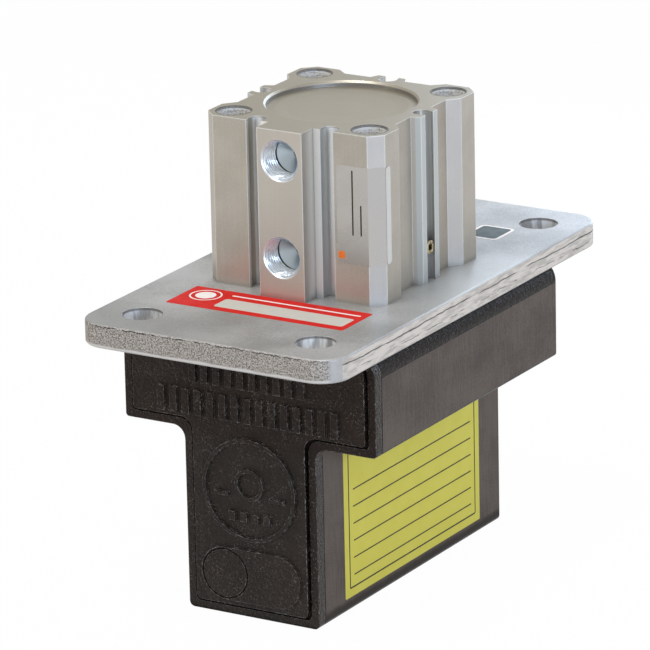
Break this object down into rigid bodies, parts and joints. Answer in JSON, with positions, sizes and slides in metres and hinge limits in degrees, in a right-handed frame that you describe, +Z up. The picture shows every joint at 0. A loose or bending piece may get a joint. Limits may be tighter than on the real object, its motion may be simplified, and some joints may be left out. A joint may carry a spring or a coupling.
{
  "type": "robot magnetic gripper",
  "caption": "End-of-arm magnetic gripper: an air cylinder lifts a magnet carriage inside a T-shaped housing under a bolt-on plate to release steel sheet.",
  "frame": {"origin": "centre of the working face at the bottom, under the cylinder's axis", "axes": "+Z up along the cylinder's axis and the magnets' travel, +Y along the plate away from the air ports, +X across it"},
  "size_m": [0.0762, 0.1396, 0.1247],
  "materials": {
    "plate_aluminium": "tumbled mill finish",
    "anodised_aluminium": "clear hard anodised",
    "piston_aluminium": "turned",
    "seal_rubber": "moulded nitrile",
    "bush_bronze": "sintered",
    "spring_steel": "phosphated",
    "screw_brass": "turned",
    "screw_steel": "zinc plated",
    "rod_steel": "hard chromed",
    "pole_steel": "ground mild steel",
    "magnet_nickel": "nickel-plated sintered magnet",
    "housing_plastic": "moulded, satin",
    "cap_plastic": "moulded, glossy",
    "glide_plastic": "low-friction strip"
  },
  "bodies": {
    "frame": {"mounting_plate": "plate_aluminium", "cylinder_body": "anodised_aluminium", "head_cover": "anodised_aluminium", "head_cover_seal": "seal_rubber", "rod_cover": "anodised_aluminium", "rod_cover_seal": "seal_rubber", "rod_bush": "bush_bronze", "rod_seal": "seal_rubber", "retaining_ring": "spring_steel", "slot_screw": "screw_brass", "cylinder_screws": "screw_steel", "housing": "housing_plastic", "front_cap": "cap_plastic", "housing_gasket": "seal_rubber", "housing_screws": "screw_steel"},
    "magnet_carriage": {"piston": "piston_aluminium", "piston_seal": "seal_rubber", "piston_wear_ring": "glide_plastic", "piston_nut": "screw_steel", "piston_rod": "rod_steel", "rod_nut": "screw_steel", "carriage_block": "piston_aluminium", "glide_strips": "glide_plastic", "pole_plates": "pole_steel", "magnets": "magnet_nickel", "pole_screws": "screw_steel"}
  },
  "joints": [
    {"name": "magnet_lift", "type": "slide", "parent": "frame", "child": "magnet_carriage", "axis": [0, 0, 1], "range_m": [0, 0.015]}
  ]
}
